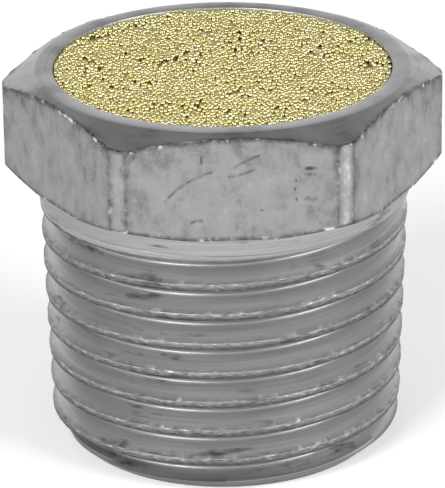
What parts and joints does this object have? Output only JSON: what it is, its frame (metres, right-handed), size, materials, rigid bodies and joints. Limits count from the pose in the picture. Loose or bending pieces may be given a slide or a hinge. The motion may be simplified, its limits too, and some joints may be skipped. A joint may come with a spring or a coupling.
{
  "type": "pneumatic muffler",
  "caption": "Flush exhaust muffler for compressed air: a hexagon head over a male tapered pipe thread, with a porous sintered bronze disc pressed into the top.",
  "frame": {"origin": "centre of the flat face at the thread end", "axes": "+Z along the pipe axis, from the thread end to the exhaust face; two faces of the hexagon face -Y and +Y, and two of its corners point to -X and +X"},
  "size_m": [0.0252, 0.0222, 0.0223],
  "materials": {
    "machined_aluminium": "bare metal, drawn flats, turned chamfers and thread, dull and lightly scuffed",
    "sintered_bronze": "small bright round grains fused together with dark pores between them"
  },
  "bodies": {
    "root": {"threaded_hex_body": "machined_aluminium", "sintered_bronze_disc": "sintered_bronze"}
  },
  "joints": []
}
